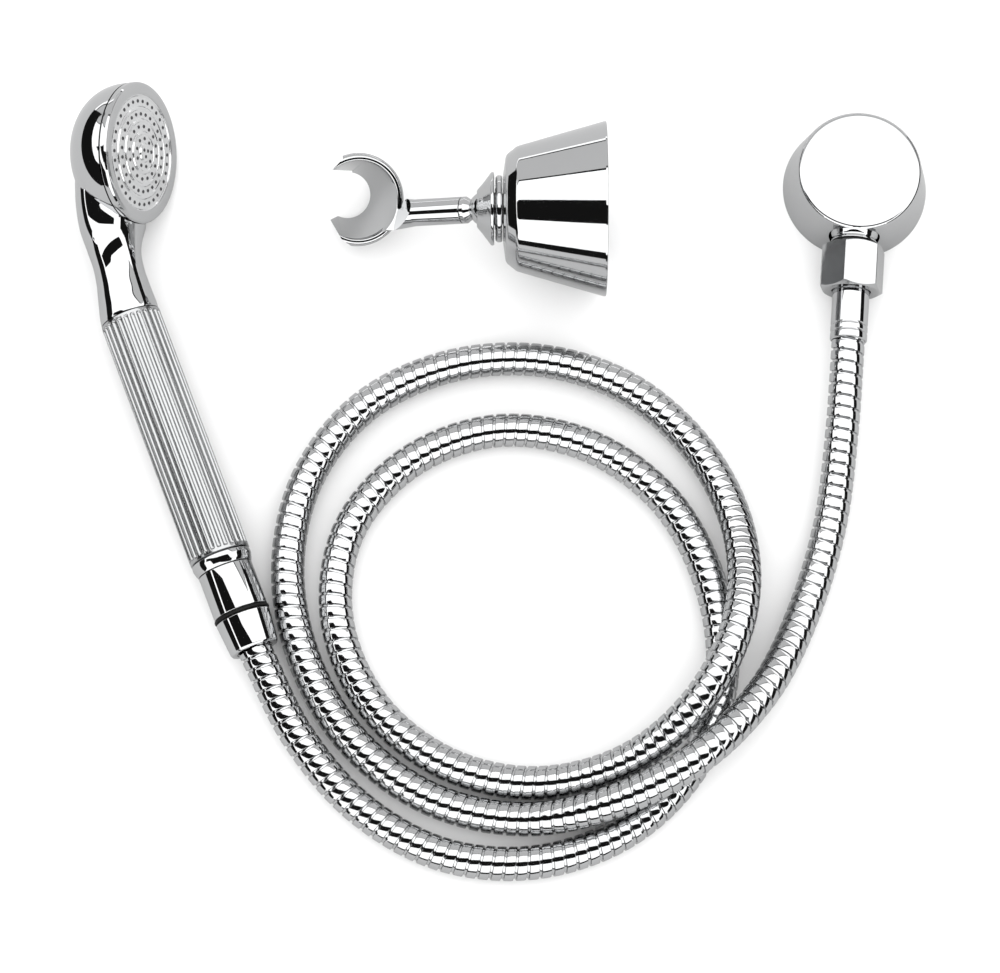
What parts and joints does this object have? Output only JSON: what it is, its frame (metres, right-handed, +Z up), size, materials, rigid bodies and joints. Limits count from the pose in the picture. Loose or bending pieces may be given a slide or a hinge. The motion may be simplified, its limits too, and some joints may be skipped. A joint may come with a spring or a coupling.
{
  "type": "handheld bath sprayer",
  "caption": "Chrome hand shower set: ribbed handset, metal hose, round wall outlet elbow and swivel wall bracket, laid out flat.",
  "frame": {"origin": "middle of the set's footprint without the hose, on the floor that it lies on", "axes": "+X across the set from the handset to the wall outlet, +Y from the hose loops towards the spray head, +Z up"},
  "size_m": [0.3603, 0.3319, 0.0726],
  "materials": {
    "chrome": "polished",
    "hose_metal": "polished",
    "brass": "machined",
    "steel": "plain",
    "rubber": "matte",
    "plastic": "moulded"
  },
  "bodies": {
    "outlet": {"outlet_cover": "chrome", "outlet_body": "brass", "wall_gasket": "rubber", "cover_set_screw": "steel", "check_valve_body": "plastic", "check_valve_spring": "steel", "hose_washer_outlet": "rubber", "hose_insert_outlet": "brass", "ferrule_outlet": "chrome", "hose": "hose_metal", "hose_insert_handset": "brass", "hose_washer_handset": "rubber"},
    "valve": {"check_valve_poppet": "plastic"},
    "outlet_nut": {"hex_nut": "chrome"},
    "handset": {"inlet_filter": "steel", "swivel_ring": "rubber", "handle_tube": "brass", "lower_sleeve": "chrome", "grip_collar": "chrome", "grip_sleeve": "chrome", "grip_oring_lower": "rubber", "grip_oring_upper": "rubber", "head_shell": "chrome", "flow_disc": "plastic", "face_gasket": "rubber", "spray_face": "chrome", "face_bezel": "chrome"},
    "handset_nut": {"cone_nut": "chrome"},
    "bracket": {"escutcheon": "chrome", "mounting_plate": "steel", "grub_screw": "steel", "step_ring": "chrome"},
    "bracket_collar": {"bell_collar": "chrome"},
    "bracket_seat": {"ball_seat": "plastic"},
    "bracket_arm": {"ball_stem": "chrome"},
    "bracket_cradle": {"cradle": "chrome"}
  },
  "joints": [
    {"name": "valve_slide", "type": "slide", "parent": "outlet", "child": "valve", "axis": [-0.0785, -0.9969, 0], "range_m": [0, 0.0025], "stiffness_N_per_m": 60, "springref_m": -0.002, "deforming": ["check_valve_spring"]},
    {"name": "hex_nut_turn", "type": "hinge", "parent": "outlet", "child": "outlet_nut", "pos_m": [0.14972, 0.0818, 0.014], "axis": [-0.0785, -0.9969, 0], "continuous": true},
    {"name": "handset_swivel", "type": "hinge", "parent": "outlet", "child": "handset", "pos_m": [-0.1012, -0.12063, 0.0121], "axis": [-0.3599, 0.9328, 0.0192], "continuous": true},
    {"name": "cone_nut_turn", "type": "hinge", "parent": "handset", "child": "handset_nut", "pos_m": [-0.1012, -0.12063, 0.0121], "axis": [-0.3599, 0.9328, 0.0192], "continuous": true},
    {"name": "bracket_lift", "type": "slide", "parent": "outlet", "child": "bracket", "axis": [0, 0, 1], "range_m": [0, 0.15]},
    {"name": "bell_collar_turn", "type": "hinge", "parent": "bracket", "child": "bracket_collar", "pos_m": [-0.00665, 0.0608, 0.0363], "axis": [-1, 0, 0], "continuous": true},
    {"name": "arm_pan", "type": "hinge", "parent": "bracket", "child": "bracket_seat", "pos_m": [-0.00665, 0.0608, 0.0363], "axis": [0, 0, 1], "range_deg": [-8, 16]},
    {"name": "arm_tilt", "type": "hinge", "parent": "bracket_seat", "child": "bracket_arm", "pos_m": [-0.00665, 0.0608, 0.0363], "axis": [-0.0715, -0.9974, 0], "range_deg": [-37, 0.8]},
    {"name": "cradle_roll", "type": "hinge", "parent": "bracket_arm", "child": "bracket_cradle", "pos_m": [-0.00665, 0.0608, 0.0363], "axis": [-0.9321, 0.0668, -0.3561], "continuous": true}
  ]
}
